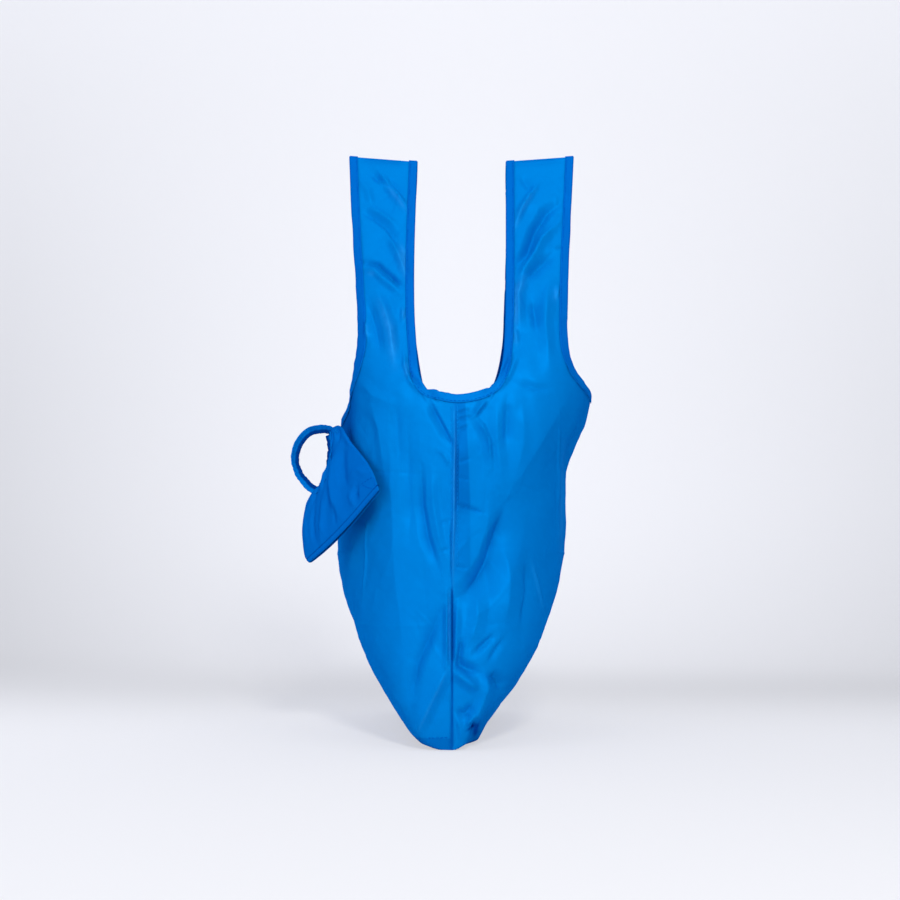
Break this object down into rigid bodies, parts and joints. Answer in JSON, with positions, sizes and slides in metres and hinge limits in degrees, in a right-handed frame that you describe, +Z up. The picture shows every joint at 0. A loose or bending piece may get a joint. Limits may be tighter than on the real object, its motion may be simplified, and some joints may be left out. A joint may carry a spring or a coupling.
{
  "type": "foldable shopping bag",
  "caption": "Thin cloth shopping bag with a boxed bottom and two wide strap handles, hanging open, with its small stow pouch and ribbon loop on the side edge.",
  "frame": {"origin": "middle of the boxed bottom, on the floor under the hanging bag", "axes": "+Z up to the fold of the handles, +Y from the near seam to the far seam, +X to the right handle"},
  "size_m": [0.3102, 0.3638, 0.5967],
  "materials": {
    "panel_cloth": "smooth woven polyester with a soft sheen",
    "binding_tape": "folded strip of the same cloth, stitched",
    "pouch_cloth": "the same cloth, two layers",
    "loop_ribbon": "the same cloth, folded to a narrow band"
  },
  "bodies": {
    "root": {"left_panel": "panel_cloth", "right_panel": "panel_cloth", "neck_binding": "binding_tape", "left_handle_binding": "binding_tape", "right_handle_binding": "binding_tape", "stow_pouch": "pouch_cloth", "pouch_loop": "loop_ribbon"}
  },
  "joints": []
}
